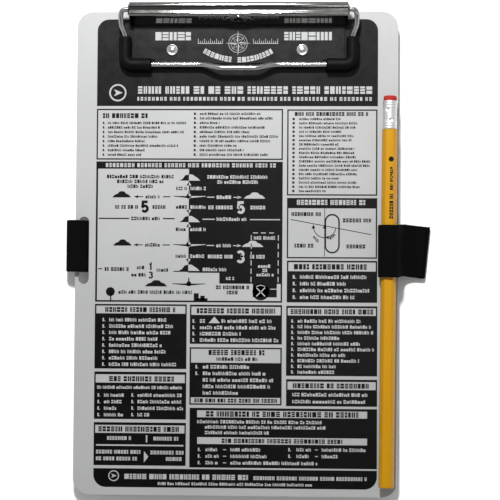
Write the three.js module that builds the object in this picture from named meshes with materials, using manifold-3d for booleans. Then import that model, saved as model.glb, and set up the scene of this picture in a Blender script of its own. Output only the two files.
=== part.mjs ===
// A pilot's kneeboard: an aluminium clipboard with a sprung wire clip, an elastic leg strap and a pencil.
// Millimetres. X runs across the board, Y up the board towards the clip, and Z out of its writing face.
// The parts are made round the centre of the board's underside, and the last step moves the whole object
// so that its origin is the bottom centre of its bounding box.
import * as THREE from 'three';
import { mergeVertices } from 'three/addons/utils/BufferGeometryUtils.js';
import Module from 'manifold-3d';

const wasm = await Module();
wasm.setup();

// ---- driving dimensions ----

const INCH = 25.4;
const CONTACT_GAP = 0.1; // between fixed metal faces that touch
const SOFT_GAP = 0.3; // between layers of webbing, and under anything that moves

const BOARD_WIDTH = 6.25 * INCH;
const BOARD_LENGTH = 9.375 * INCH;
const BOARD_THICKNESS = 1.6;
const BOARD_CORNER_RADIUS = 8;

const SLOT_X = 75.1; // centre of each strap slot, either side of the middle
const SLOT_Y = 0.7;
const SLOT_WIDTH = 5;
const SLOT_LENGTH = 33.2;

const CLIP_X = 0.9; // the clip sits a little right of the middle
const SHEET = 0.9; // thickness of the clip's steel
const PIN_RADIUS = 1.2;
const PIN_CLEARANCE = 0.08;
const KNUCKLE_BORE = PIN_RADIUS + PIN_CLEARANCE;
const KNUCKLE_RADIUS = KNUCKLE_BORE + SHEET;
const PIN_Y = 115.8;
const PIN_Z = BOARD_THICKNESS + CONTACT_GAP + KNUCKLE_RADIUS;

const BASE_HALF_WIDTH = 52;
const BASE_FRONT_Y = 93.2;
const BASE_NOTCH_X = 41.5; // outside this its front edge is cut back, clear of the bail's sleeves
const BASE_NOTCH_Y = 95.2;
const BASE_TOP_Z = BOARD_THICKNESS + CONTACT_GAP + SHEET;
const BASE_MIDDLE_Y = PIN_Y - 2.7; // rear edge of its middle, in front of the springs
const OUTER_KNUCKLE = [42, 51]; // stretches of the pin that each knuckle holds
const LEVER_KNUCKLE = [28.5, 41.5];

const RIVET_X = 32.1;
const RIVET_Y = 99.9;
const RIVET_HOLE_RADIUS = 1.7;

const LEVER_HALF_WIDTH = 53.6;
const CHEEK_X = 54.3; // outside of the cheek at each end of the lever
const LEVER_LEAN = THREE.MathUtils.degToRad(67.5); // the lever's face, up from the board
const LEVER_OFFSET = KNUCKLE_RADIUS + 0.2 + SHEET / 2; // its middle plane, from the pin's middle line
const LEVER_FOOT_Z = -0.3; // the face's lower edge, from the pin
const HANG_HOLE_WIDTH = 6.2;
const HANG_HOLE_TOP = 5.9; // above the pin

const WIRE_RADIUS = 1.3;
const WIRE_HOLE = new THREE.Vector2(3.2, 5.0); // in the lever's cheek, behind and above the pin
const BAIL_X = 56; // the bail's sides
const BAR_Y = 92.3; // its front bar
const BAR_Z = BOARD_THICKNESS + 3.5;
const BAR_CORNER_RADIUS = 3.6;
const HUMP_Y = 90.2; // the raised middle of the bar
const HUMP_Z = BAR_Z + 3.1;
const HUMP_FLAT_X = 7.5; // it runs level to here
const HUMP_END_X = 20; // and comes down to the bar here

const SLEEVE_RADIUS = 3.2;
const SLEEVE_BORE = WIRE_RADIUS + 0.25;
const SLEEVE_INNER_X = 43;
const SLEEVE_TOP_Y = 106;

const SPRING_WIRE_RADIUS = 0.35;
const SPRING_COIL_RADIUS = 1.7;
const SPRING_TURNS = 7;
const SPRING_PITCH = 1.05;
const SPRING_START_X = 14;

const WEB_WIDTH = INCH;
const WEB_THICKNESS = 1;
const WEB_Y = 1.7; // where the strap's middle crosses the board's middle
const WEB_SLANT = -0.0141; // the strap runs a little askew
const WEB_RUN_Z = -(SOFT_GAP + WEB_THICKNESS / 2);
const PATCH_THICKNESS = 0.8;
const PATCH_WIDTH = 23;
const PILE_Z = WEB_RUN_Z - WEB_THICKNESS / 2 - SOFT_GAP - PATCH_THICKNESS / 2;
const HOOK_Z = PILE_Z - PATCH_THICKNESS - SOFT_GAP;
const TAIL_Z = HOOK_Z - PATCH_THICKNESS / 2 - SOFT_GAP - WEB_THICKNESS / 2;
const PILE_SPAN = [-44, 48];
const HOOK_SPAN = [-52, -4];
const TAIL_END_X = -60;
const FOLD_X = 94;
const FOLD_RADIUS = 1; // middle of the webbing at the fold
const FOLD_TOP_Z = TAIL_Z + 2 * FOLD_RADIUS;

const PENCIL_FLATS = 6.8;
const PENCIL_X = 74.6;
const PENCIL_LIFT = 1.6; // the webbing under it holds it off the board
const PENCIL_Z = BOARD_THICKNESS + PENCIL_LIFT + PENCIL_FLATS / 2;
const PENCIL_SLANT = THREE.MathUtils.degToRad(-0.45);
const PENCIL_FOOT_Y = -113.9;
const WOOD_TOP_Y = 60.1; // where the ferrule begins
const TENON_LENGTH = 7;
const TENON_RADIUS = 3.1;
const LEAD_RADIUS = 1;
const LEAD_BORE = 1.1;
const FERRULE_LENGTH = 13.8;
const FERRULE_BORE = 3.3;
const ERASER_RADIUS = 3.25;
const PENCIL_LENGTH = 7.5 * INCH;

// ---- shared helpers ----

// A solid that booleans can work on, from a closed geometry.
function toSolid(geometry) {
  const bare = geometry.clone();
  bare.deleteAttribute('normal');
  bare.deleteAttribute('uv');
  const merged = mergeVertices(bare, 1e-4);
  const vertProperties = new Float32Array(merged.attributes.position.array);
  const triVerts = new Uint32Array(merged.index.array);
  return new wasm.Manifold(new wasm.Mesh({ numProp: 3, vertProperties, triVerts }));
}

function toGeometry(solid) {
  const mesh = solid.getMesh();
  const geometry = new THREE.BufferGeometry();
  geometry.setAttribute('position', new THREE.BufferAttribute(new Float32Array(mesh.vertProperties), 3));
  geometry.setIndex(new THREE.BufferAttribute(new Uint32Array(mesh.triVerts), 1));
  geometry.computeVertexNormals();
  return geometry;
}

function combine(base, additions, cutters) {
  let solid = toSolid(base);
  for (const addition of additions) {
    solid = solid.add(toSolid(addition));
  }
  for (const cutter of cutters) {
    solid = solid.subtract(toSolid(cutter));
  }
  return toGeometry(solid);
}

function box(x, y, z) {
  const geometry = new THREE.BoxGeometry(x[1] - x[0], y[1] - y[0], z[1] - z[0]);
  geometry.translate((x[0] + x[1]) / 2, (y[0] + y[1]) / 2, (z[0] + z[1]) / 2);
  return geometry;
}

// The same stretch of X on the left (side -1) or the right (side 1), in rising order.
function stretch(side, from, to) {
  return [side * from, side * to].sort((a, b) => a - b);
}

function circle(x, y, radius) {
  const path = new THREE.Path();
  path.absarc(x, y, radius, 0, 2 * Math.PI, true);
  return path;
}

function roundedBar(centreX, centreY, width, length, radius) {
  const [left, right] = [centreX - width / 2, centreX + width / 2];
  const [low, high] = [centreY - length / 2, centreY + length / 2];
  const shape = new THREE.Shape();
  shape.moveTo(left + radius, low);
  shape.lineTo(right - radius, low);
  shape.absarc(right - radius, low + radius, radius, -Math.PI / 2, 0, false);
  shape.lineTo(right, high - radius);
  shape.absarc(right - radius, high - radius, radius, 0, Math.PI / 2, false);
  shape.lineTo(left + radius, high);
  shape.absarc(left + radius, high - radius, radius, Math.PI / 2, Math.PI, false);
  shape.lineTo(left, low + radius);
  shape.absarc(left + radius, low + radius, radius, Math.PI, 1.5 * Math.PI, false);
  return shape;
}

// A profile drawn in (Y, Z), carried along X from x[0] to x[1].
function acrossX(profile, x, curveSegments = 6) {
  const options = { depth: x[1] - x[0], bevelEnabled: false, curveSegments };
  const geometry = new THREE.ExtrudeGeometry(profile, options);
  const turn = new THREE.Matrix4().makeBasis(
    new THREE.Vector3(0, 1, 0),
    new THREE.Vector3(0, 0, 1),
    new THREE.Vector3(1, 0, 0),
  );
  geometry.applyMatrix4(turn);
  geometry.translate(x[0], 0, 0);
  return geometry;
}

// A round rod from x[0] to x[1], about the line through (y, z).
function rodX(x, y, z, radius, sides) {
  const geometry = new THREE.CylinderGeometry(radius, radius, x[1] - x[0], sides);
  geometry.rotateZ(-Math.PI / 2);
  geometry.translate((x[0] + x[1]) / 2, y, z);
  return geometry;
}

// The closed outline of a strip of even thickness round a middle line.
function stripOutline(points, thickness) {
  const sides = [[], []];
  points.forEach((point, index) => {
    const before = points[Math.max(index - 1, 0)];
    const after = points[Math.min(index + 1, points.length - 1)];
    const along = after.clone().sub(before).normalize();
    const across = new THREE.Vector2(-along.y, along.x).multiplyScalar(thickness / 2);
    sides[0].push(point.clone().add(across));
    sides[1].push(point.clone().sub(across));
  });
  return new THREE.Shape([...sides[1], ...sides[0].reverse()]);
}

function pointsOf(pairs) {
  return pairs.map(([x, y]) => new THREE.Vector2(x, y));
}

function smoothLine(pairs, steps) {
  return new THREE.SplineCurve(pointsOf(pairs)).getSpacedPoints(steps);
}

// A tube or rod of a round section along a curve in space.
function swept(path, radius, sides, steps, boreRadius = 0) {
  const section = new THREE.Shape(ring(radius, sides));
  if (boreRadius > 0) {
    section.holes.push(new THREE.Path(ring(boreRadius, sides).reverse()));
  }
  return new THREE.ExtrudeGeometry(section, { steps, extrudePath: path });
}

function ring(radius, sides) {
  const turn = (2 * Math.PI) / sides;
  return Array.from({ length: sides }, (_, i) =>
    new THREE.Vector2(radius * Math.cos(i * turn), radius * Math.sin(i * turn)));
}

function part(name, geometry, finish) {
  const mesh = new THREE.Mesh(geometry, new THREE.MeshStandardMaterial(finish));
  mesh.name = name;
  return mesh;
}

// ---- finishes ----

const BARE_ALUMINIUM = { color: 0xd2d4d2, roughness: 0.45, metalness: 1 };
const BLACK_STEEL = { color: 0x17181c, roughness: 0.35, metalness: 0.3 };
const CHROME = { color: 0xdedede, roughness: 0.08, metalness: 1 };
const SPRING_STEEL = { color: 0x6f7072, roughness: 0.3, metalness: 1 };
const BLACK_RUBBER = { color: 0x0c0c0d, roughness: 0.7, metalness: 0 };
const BLACK_WEBBING = { color: 0x101012, roughness: 0.95, metalness: 0 };
const YELLOW_PAINT = { color: 0xd79b05, roughness: 0.3, metalness: 0 };
const GRAPHITE = { color: 0x303236, roughness: 0.5, metalness: 0.2 };
const RED_ERASER = { color: 0xb2362c, roughness: 0.85, metalness: 0 };

// ---- board ----

function boardPlate() {
  const outline = roundedBar(0, 0, BOARD_WIDTH, BOARD_LENGTH, BOARD_CORNER_RADIUS);
  for (const side of [-1, 1]) {
    const slot = roundedBar(side * SLOT_X, SLOT_Y, SLOT_WIDTH, SLOT_LENGTH, SLOT_WIDTH / 2);
    outline.holes.push(new THREE.Path(slot.getPoints(6).reverse()));
    outline.holes.push(circle(side * RIVET_X, RIVET_Y, RIVET_HOLE_RADIUS));
  }
  const options = { depth: BOARD_THICKNESS, bevelEnabled: false, curveSegments: 6 };
  return part('board_plate', new THREE.ExtrudeGeometry(outline, options), BARE_ALUMINIUM);
}

// ---- clip: fixed pieces ----

// A flat sheet whose rear edge is curled round the hinge pin.
function baseProfile() {
  const bottom = BOARD_THICKNESS + CONTACT_GAP;
  const meeting = Math.PI + Math.asin((PIN_Z - BASE_TOP_Z) / KNUCKLE_RADIUS);
  const profile = new THREE.Shape();
  profile.moveTo(BASE_FRONT_Y, bottom);
  profile.lineTo(PIN_Y, bottom);
  profile.absarc(PIN_Y, PIN_Z, KNUCKLE_RADIUS, -Math.PI / 2, meeting, false);
  profile.lineTo(BASE_FRONT_Y, BASE_TOP_Z);
  profile.holes.push(circle(PIN_Y, PIN_Z, KNUCKLE_BORE));
  return profile;
}

function clipBase() {
  const sheet = acrossX(baseProfile(), [-BASE_HALF_WIDTH, BASE_HALF_WIDTH], 8);
  const above = [BOARD_THICKNESS - 1, PIN_Z + 5];
  const behind = PIN_Y + 5;
  const cuts = [box([-LEVER_KNUCKLE[0], LEVER_KNUCKLE[0]], [BASE_MIDDLE_Y, behind], above)];
  for (const side of [-1, 1]) {
    const notch = stretch(side, BASE_NOTCH_X, BASE_HALF_WIDTH + 1);
    cuts.push(box(notch, [BASE_FRONT_Y - 1, BASE_NOTCH_Y], above));
    const leg = stretch(side, SPRING_START_X - 0.8, SPRING_START_X + 0.8);
    cuts.push(box(leg, [PIN_Y - 4.2, behind], above));
    cuts.push(box(stretch(side, OUTER_KNUCKLE[1], BASE_HALF_WIDTH + 1), [PIN_Y - 3, behind], above));
    cuts.push(box(stretch(side, LEVER_KNUCKLE[0] - 0.5, LEVER_KNUCKLE[1] + 0.5), [PIN_Y - 3, behind], above));
    const hole = new THREE.CylinderGeometry(RIVET_HOLE_RADIUS, RIVET_HOLE_RADIUS, 4, 16);
    hole.rotateX(Math.PI / 2);
    hole.translate(side * RIVET_X - CLIP_X, RIVET_Y, BASE_TOP_Z);
    cuts.push(hole);
  }
  return part('clip_base', combine(sheet, [], cuts).translate(CLIP_X, 0, 0), BLACK_STEEL);
}

function hingePin() {
  const shaft = rodX([-OUTER_KNUCKLE[1] - 0.6, OUTER_KNUCKLE[1] + 0.6], PIN_Y, PIN_Z, PIN_RADIUS, 16);
  const heads = [-1, 1].map((side) => {
    const reach = stretch(side, OUTER_KNUCKLE[1] + 0.3, OUTER_KNUCKLE[1] + 1.1);
    return rodX(reach, PIN_Y, PIN_Z, PIN_RADIUS + 0.45, 16);
  });
  return part('hinge_pin', combine(shaft, heads, []).translate(CLIP_X, 0, 0), SPRING_STEEL);
}

// A semi-tubular rivet: a dished head over the clip's base and a flared foot under the board.
function rivet(name, side) {
  const seat = BASE_TOP_Z + CONTACT_GAP;
  const foot = -CONTACT_GAP;
  const profile = pointsOf([
    [0, seat + 0.95], [1.2, seat + 0.85], [1.55, seat + 0.45], [2.05, seat + 0.4],
    [2.35, seat + 0.75], [2.75, seat + 0.65], [2.9, seat + 0.3], [2.9, seat],
    [1.55, seat], [1.55, foot], [2.4, foot - 0.05], [2.5, foot - 0.35],
    [1.7, foot - 0.6], [0.9, foot - 0.4], [0.8, seat - 0.6], [0, seat - 0.4],
  ]);
  const geometry = new THREE.LatheGeometry(profile.reverse(), 14);
  geometry.rotateX(Math.PI / 2);
  geometry.translate(side * RIVET_X, RIVET_Y, 0);
  return part(name, geometry, CHROME);
}

// The wire of a torsion spring: a leg on the base, a coil round the pin and a leg under the lever's top.
class SpringPath extends THREE.Curve {
  constructor(side) {
    super();
    this.side = side;
    this.baseLeg = { angle: THREE.MathUtils.degToRad(-102), length: 3.4 };
    this.leverLeg = { angle: THREE.MathUtils.degToRad(-13), length: 7 };
    this.turn = 2 * Math.PI * SPRING_TURNS + this.leverLeg.angle - this.baseLeg.angle;
    this.coilLength = this.turn * SPRING_COIL_RADIUS;
    this.total = this.baseLeg.length + this.coilLength + this.leverLeg.length;
  }

  onCoil(turned) {
    const angle = this.baseLeg.angle + turned;
    const along = SPRING_START_X + (turned / (2 * Math.PI)) * SPRING_PITCH;
    const y = PIN_Y + SPRING_COIL_RADIUS * Math.cos(angle);
    const z = PIN_Z + SPRING_COIL_RADIUS * Math.sin(angle);
    return { point: new THREE.Vector3(this.side * along, y, z), angle };
  }

  getPoint(t, target = new THREE.Vector3()) {
    const travelled = t * this.total - this.baseLeg.length;
    const turned = THREE.MathUtils.clamp(travelled / SPRING_COIL_RADIUS, 0, this.turn);
    const { point, angle } = this.onCoil(turned);
    const overrun = travelled - turned * SPRING_COIL_RADIUS;
    const heading = new THREE.Vector3(0, -Math.sin(angle), Math.cos(angle));
    return target.copy(point).addScaledVector(heading, overrun);
  }
}

function torsionSpring(name, side) {
  const geometry = swept(new SpringPath(side), SPRING_WIRE_RADIUS, 5, 92);
  return part(name, geometry.translate(CLIP_X, 0, 0), SPRING_STEEL);
}

// ---- clip: turning pieces ----

// The lever's sheet in (Y, Z) about the pin: a face that leans back, then a bead, a shallow channel, a
// ridge and a lip turned down.
function leverLine() {
  const along = new THREE.Vector2(Math.cos(LEVER_LEAN), Math.sin(LEVER_LEAN));
  const forward = new THREE.Vector2(-along.y, along.x);
  const start = forward.clone().multiplyScalar(LEVER_OFFSET).addScaledVector(along, -2);
  const top = smoothLine([
    [-0.35, 6.3], [-0.05, 6.95], [0.65, 7.45], [1.5, 7.2], [2.8, 7.1], [4.0, 7.55], [5.2, 7.5], [6.0, 6.95],
    [6.3, 6.1],
  ], 22);
  return [start, ...top];
}

function leverCheek() {
  const outline = new THREE.Shape(pointsOf([
    [0.4, 3.0], [3.2, 2.3], [5.0, 3.2], [5.9, 5.0], [5.7, 6.4], [4.5, 7.5], [3.2, 7.5], [0.7, 7.4],
    [-0.1, 6.8],
  ]));
  outline.holes.push(circle(WIRE_HOLE.x, WIRE_HOLE.y, WIRE_RADIUS + 0.3));
  return outline;
}

function hangHole() {
  const radius = HANG_HOLE_WIDTH / 2;
  const arch = new THREE.Shape();
  arch.moveTo(-radius, -5);
  arch.lineTo(radius, -5);
  arch.absarc(0, HANG_HOLE_TOP - radius, radius, 0, Math.PI, false);
  const cutter = new THREE.ExtrudeGeometry(arch, { depth: 12, bevelEnabled: false, curveSegments: 8 });
  cutter.rotateX(Math.PI / 2);
  cutter.translate(0, 8, 0);
  return cutter;
}

function clipLever() {
  const width = [-LEVER_HALF_WIDTH, LEVER_HALF_WIDTH];
  const sheet = acrossX(stripOutline(leverLine(), SHEET), width);
  const knuckle = new THREE.Shape();
  knuckle.absarc(0, 0, KNUCKLE_RADIUS, 0, 2 * Math.PI, false);
  const bridge = new THREE.Shape(pointsOf([[-0.6, -1.2], [-3.1, 0], [-2.2, 2.3], [0.5, 1.4]]));
  const additions = [];
  const cuts = [box([-CHEEK_X, CHEEK_X], [-8, -1], [-5, LEVER_FOOT_Z]), hangHole()];
  for (const side of [-1, 1]) {
    const reach = stretch(side, ...LEVER_KNUCKLE);
    additions.push(acrossX(knuckle, reach, 8));
    additions.push(acrossX(bridge, reach));
    additions.push(acrossX(leverCheek(), stretch(side, CHEEK_X - SHEET, CHEEK_X)));
  }
  cuts.push(rodX(width, 0, 0, KNUCKLE_BORE, 16));
  const geometry = combine(sheet, additions, cuts);
  geometry.translate(CLIP_X, PIN_Y, PIN_Z);
  return part('clip_lever', geometry, CHROME);
}

// The bail's right half as straight lines and Bezier curves, from the middle of the bar to its end.
function bailHalf() {
  const holeY = PIN_Y + WIRE_HOLE.x;
  const holeZ = PIN_Z + WIRE_HOLE.y;
  const cornerX = BAIL_X - BAR_CORNER_RADIUS;
  const cornerY = BAR_Y + BAR_CORNER_RADIUS;
  const ease = 0.4477 * BAR_CORNER_RADIUS; // makes the corner's curve a quarter circle
  return [
    [[0, HUMP_Y, HUMP_Z], [HUMP_FLAT_X, HUMP_Y, HUMP_Z]],
    [[HUMP_FLAT_X, HUMP_Y, HUMP_Z], [HUMP_FLAT_X + 4.5, HUMP_Y, HUMP_Z],
      [HUMP_END_X - 4.5, BAR_Y, BAR_Z], [HUMP_END_X, BAR_Y, BAR_Z]],
    [[HUMP_END_X, BAR_Y, BAR_Z], [cornerX, BAR_Y, BAR_Z]],
    [[cornerX, BAR_Y, BAR_Z], [BAIL_X - ease, BAR_Y, BAR_Z], [BAIL_X, BAR_Y + ease, BAR_Z],
      [BAIL_X, cornerY, BAR_Z]],
    [[BAIL_X, cornerY, BAR_Z], [BAIL_X, SLEEVE_TOP_Y, BAR_Z]],
    [[BAIL_X, SLEEVE_TOP_Y, BAR_Z], [BAIL_X + 0.2, 108.5, BAR_Z], [BAIL_X + 1.9, 110, BAR_Z + 1.6],
      [BAIL_X + 1.9, 113, BAR_Z + 2.6]],
    [[BAIL_X + 1.9, 113, BAR_Z + 2.6], [BAIL_X + 1.9, 116.2, BAR_Z + 3.7], [BAIL_X + 2.6, holeY, holeZ],
      [CHEEK_X + 1.1, holeY, holeZ]],
    [[CHEEK_X + 1.1, holeY, holeZ], [CHEEK_X - 3.1, holeY, holeZ]],
  ];
}

function curveThrough(corners) {
  const points = corners.map((corner) => new THREE.Vector3(...corner));
  return points.length === 2 ? new THREE.LineCurve3(...points) : new THREE.CubicBezierCurve3(...points);
}

function joinedPath(pieces) {
  const path = new THREE.CurvePath();
  pieces.forEach((piece) => path.add(curveThrough(piece)));
  return path;
}

function mirrored(pieces) {
  return pieces.map((piece) => piece.map(([x, y, z]) => [-x, y, z]).reverse()).reverse();
}

function bailWire() {
  const half = bailHalf();
  const path = joinedPath([...mirrored(half), ...half]);
  return part('bail_wire', swept(path, WIRE_RADIUS, 8, 112).translate(CLIP_X, 0, 0), CHROME);
}

function gripSleeve(name, side) {
  const [, , , corner, leg] = bailHalf();
  const bar = [[SLEEVE_INNER_X, BAR_Y, BAR_Z], corner[0]];
  const pieces = [bar, corner, leg];
  const path = joinedPath(side > 0 ? pieces : mirrored(pieces));
  const tube = swept(path, SLEEVE_RADIUS, 10, 18, SLEEVE_BORE);
  return part(name, tube.translate(CLIP_X, 0, 0), BLACK_RUBBER);
}

// ---- strap ----

// A strip drawn in (X, Z), carried across the strap's width and set to its slant.
function webbing(outline, width) {
  const geometry = new THREE.ExtrudeGeometry(outline, { depth: width, bevelEnabled: false, curveSegments: 8 });
  geometry.rotateX(Math.PI / 2);
  geometry.translate(0, width / 2 + WEB_Y, 0);
  geometry.applyMatrix4(new THREE.Matrix4().set(1, 0, 0, 0, WEB_SLANT, 1, 0, 0, 0, 0, 1, 0, 0, 0, 0, 1));
  return geometry;
}

// The strap's hem lies under its main run, then the webbing goes round the board's left rim, down
// through the left slot and across the underside.
function leftLoop() {
  return [
    [-76, -2.1], [-80.6, -1.9], [-82.7, -0.7], [-83.3, 1.4], [-82.4, 3.5], [-79.6, 4.4],
    [-76.2, 3.9], [-74.2, 2.5], [-73.5, 0.9], [-73.45, 0.1], [-73.1, -0.55], [-72.2, WEB_RUN_Z],
  ];
}

// It comes up through the right slot, goes over the pencil and runs out past the board's edge.
function rightLoop() {
  return [
    [72.2, WEB_RUN_Z], [73.1, -0.55], [73.45, 0.1], [73.45, 1.4], [72.75, 2.42], [71.5, 3.1],
    [70.3, 4.6], [69.9, 6.6], [70.4, 9.0], [72.0, 10.8], [74.2, 11.35], [76.7, 11.2], [78.7, 9.7],
    [80.1, 6.8], [81.0, 3.6], [82.6, 0.8], [85.4, -1.0], [89.5, FOLD_TOP_Z + 0.15],
    [FOLD_X - SOFT_GAP, FOLD_TOP_Z],
  ];
}

function strapBand() {
  const middle = [
    new THREE.Vector2(-50, -2.1),
    ...smoothLine(leftLoop(), 34),
    ...smoothLine(rightLoop(), 62),
  ];
  return part('strap_band', webbing(stripOutline(middle, WEB_THICKNESS), WEB_WIDTH), BLACK_WEBBING);
}

function strapFold() {
  const middleZ = TAIL_Z + FOLD_RADIUS;
  const outer = FOLD_RADIUS + WEB_THICKNESS / 2;
  const inner = FOLD_RADIUS - WEB_THICKNESS / 2;
  const outline = new THREE.Shape();
  outline.absarc(FOLD_X, middleZ, outer, -Math.PI / 2, Math.PI / 2, false);
  outline.absarc(FOLD_X, middleZ, inner, Math.PI / 2, -Math.PI / 2, true);
  return part('strap_fold', webbing(outline, WEB_WIDTH), BLACK_WEBBING);
}

function strip(name, span, z, thickness, width, finish) {
  const outline = stripOutline([new THREE.Vector2(span[0], z), new THREE.Vector2(span[1], z)], thickness);
  return part(name, webbing(outline, width), finish);
}

// ---- pencil, upright along Y about its own middle line ----

function alongY(geometry, fromY) {
  geometry.rotateX(-Math.PI / 2);
  geometry.translate(0, fromY, 0);
  return geometry;
}

function pencilBody() {
  const section = new THREE.Shape(ring(PENCIL_FLATS / Math.sqrt(3), 6));
  section.holes.push(circle(0, 0, LEAD_BORE));
  const shaftLength = WOOD_TOP_Y - PENCIL_FOOT_Y;
  const plain = { bevelEnabled: false, curveSegments: 6 };
  const shaft = new THREE.ExtrudeGeometry(section, { ...plain, depth: shaftLength });
  const tenonSection = new THREE.Shape(ring(TENON_RADIUS, 16));
  tenonSection.holes.push(circle(0, 0, LEAD_BORE));
  const tenonDepth = TENON_LENGTH + 1;
  const tenon = new THREE.ExtrudeGeometry(tenonSection, { ...plain, depth: tenonDepth });
  alongY(shaft, PENCIL_FOOT_Y);
  alongY(tenon, WOOD_TOP_Y - 1);
  return part('pencil_body', combine(shaft, [tenon], []), YELLOW_PAINT);
}

function pencilLead() {
  const top = WOOD_TOP_Y + TENON_LENGTH - 0.2;
  const length = top - PENCIL_FOOT_Y - 0.1;
  const geometry = new THREE.CylinderGeometry(LEAD_RADIUS, LEAD_RADIUS, length, 12);
  geometry.translate(0, top - length / 2, 0);
  return part('pencil_lead', geometry, GRAPHITE);
}

// A thin tube with crimped rings at each end, between the wood and the eraser.
function pencilFerrule() {
  const foot = WOOD_TOP_Y + 0.15;
  const top = foot + FERRULE_LENGTH;
  const proud = 3.6;
  const waist = 3.48;
  const profile = pointsOf([
    [FERRULE_BORE, foot], [waist, foot], [proud, foot + 0.5], [waist, foot + 1.1], [proud, foot + 1.7],
    [waist, foot + 2.3], [proud, foot + 2.9], [waist, foot + 3.6], [waist, top - 3.6], [proud, top - 2.9],
    [waist, top - 2.3], [proud, top - 1.7], [waist, top - 1.1], [proud, top - 0.5], [waist, top],
    [FERRULE_BORE, top], [FERRULE_BORE, foot],
  ]);
  return part('pencil_ferrule', new THREE.LatheGeometry(profile, 16), BARE_ALUMINIUM);
}

function pencilEraser() {
  const foot = WOOD_TOP_Y + TENON_LENGTH + 0.3;
  const top = PENCIL_FOOT_Y + PENCIL_LENGTH;
  const rim = WOOD_TOP_Y + 0.15 + FERRULE_LENGTH;
  const plug = FERRULE_BORE - 0.2;
  const profile = pointsOf([
    [0, foot], [plug, foot], [plug, rim + 0.2], [ERASER_RADIUS, rim + 0.5], [ERASER_RADIUS, top - 0.9],
    [ERASER_RADIUS - 0.35, top - 0.25], [ERASER_RADIUS - 1, top], [0, top],
  ]);
  return part('pencil_eraser', new THREE.LatheGeometry(profile, 16), RED_ERASER);
}

function pencil() {
  const group = new THREE.Group();
  group.add(pencilBody(), pencilLead(), pencilFerrule(), pencilEraser());
  group.rotation.z = PENCIL_SLANT;
  group.position.set(PENCIL_X, 0, PENCIL_Z);
  return group;
}

// ---- the whole object ----

function assembly() {
  const group = new THREE.Group();
  group.add(boardPlate(), clipBase(), hingePin());
  for (const [word, side] of [['left', -1], ['right', 1]]) {
    group.add(rivet(`rivet_${word}`, side));
    group.add(torsionSpring(`torsion_spring_${word}`, side));
    group.add(gripSleeve(`grip_sleeve_${word}`, side));
  }
  group.add(clipLever(), bailWire());
  group.add(strapBand(), strapFold());
  group.add(strip('strap_tail', [TAIL_END_X, FOLD_X], TAIL_Z, WEB_THICKNESS, WEB_WIDTH, BLACK_WEBBING));
  group.add(strip('pile_patch', PILE_SPAN, PILE_Z, PATCH_THICKNESS, PATCH_WIDTH, BLACK_WEBBING));
  group.add(strip('hook_patch', HOOK_SPAN, HOOK_Z, PATCH_THICKNESS, PATCH_WIDTH, BLACK_WEBBING));
  group.add(pencil());
  return group;
}

const kneeboard = assembly();
kneeboard.updateMatrixWorld(true);
const extent = new THREE.Box3().setFromObject(kneeboard, true);
const middle = extent.getCenter(new THREE.Vector3());
kneeboard.position.set(-middle.x, -middle.y, -extent.min.z);
kneeboard.updateMatrixWorld(true);

export default kneeboard;
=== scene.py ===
"""Looks for a pilot's kneeboard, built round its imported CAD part.

Metres in the part's own frame: +X across the board, +Y up it to the clip, +Z out of its writing face.
Sizes below are in millimetres from the middle of the board's underside, and at() turns them into metres.
"""
import math
import random

import bmesh
import bpy
from mathutils import Euler, Matrix, Vector


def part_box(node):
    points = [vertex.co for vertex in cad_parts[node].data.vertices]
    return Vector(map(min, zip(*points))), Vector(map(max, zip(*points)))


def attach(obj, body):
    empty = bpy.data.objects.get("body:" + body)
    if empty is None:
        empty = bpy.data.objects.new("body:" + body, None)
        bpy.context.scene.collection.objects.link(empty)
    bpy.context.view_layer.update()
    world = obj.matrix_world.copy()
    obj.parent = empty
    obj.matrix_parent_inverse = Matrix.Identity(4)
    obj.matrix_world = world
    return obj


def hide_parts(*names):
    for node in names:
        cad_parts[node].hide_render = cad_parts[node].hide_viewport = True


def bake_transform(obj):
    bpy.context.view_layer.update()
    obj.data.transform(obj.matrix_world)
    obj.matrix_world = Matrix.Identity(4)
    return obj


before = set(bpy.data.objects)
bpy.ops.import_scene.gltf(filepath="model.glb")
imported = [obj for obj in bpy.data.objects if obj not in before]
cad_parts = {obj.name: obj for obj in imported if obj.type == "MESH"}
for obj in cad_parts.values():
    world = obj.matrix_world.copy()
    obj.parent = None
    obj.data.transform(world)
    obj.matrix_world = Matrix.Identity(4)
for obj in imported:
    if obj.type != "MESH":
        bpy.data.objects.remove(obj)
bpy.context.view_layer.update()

MM = 0.001
BOARD_LOW, BOARD_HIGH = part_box("board_plate")
ORIGIN = Vector(((BOARD_LOW.x + BOARD_HIGH.x) / 2, (BOARD_LOW.y + BOARD_HIGH.y) / 2, BOARD_LOW.z))
BOARD_TOP = (BOARD_HIGH.z - BOARD_LOW.z) / MM
BASE_THICK = 1.0


def at(x, y, z):
    """A point in these millimetres, as metres in the part's frame."""
    return ORIGIN + Vector((x, y, z)) * MM


def box(node):
    """A node's lowest and highest corners at rest, in the same millimetres."""
    return [(corner - ORIGIN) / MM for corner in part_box(node)]


def middle(node):
    low, high = box(node)
    return (low + high) / 2


# ---- camera ----

CAMERA_TURN = (2.34, 2.27, 0.35)  # degrees away from looking straight down
CAMERA_AIM = Vector((6.66, 1.46, 0)) * MM  # from the board's middle, on the floor
CAMERA_DISTANCE = 0.8


def add_camera():
    camera = bpy.data.objects.new("camera", bpy.data.cameras.new("camera"))
    bpy.context.scene.collection.objects.link(camera)
    camera.data.sensor_width = 36
    camera.data.lens = 116.3
    camera.data.clip_start = 0.01
    turn = Euler([math.radians(a) for a in CAMERA_TURN], "XYZ")
    camera.rotation_euler = turn
    target = Vector((ORIGIN.x, ORIGIN.y, 0)) + CAMERA_AIM
    camera.location = target + turn.to_matrix() @ Vector((0, 0, CAMERA_DISTANCE))
    bpy.context.scene.camera = camera


add_camera()


# ---- light and floor ----

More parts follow.
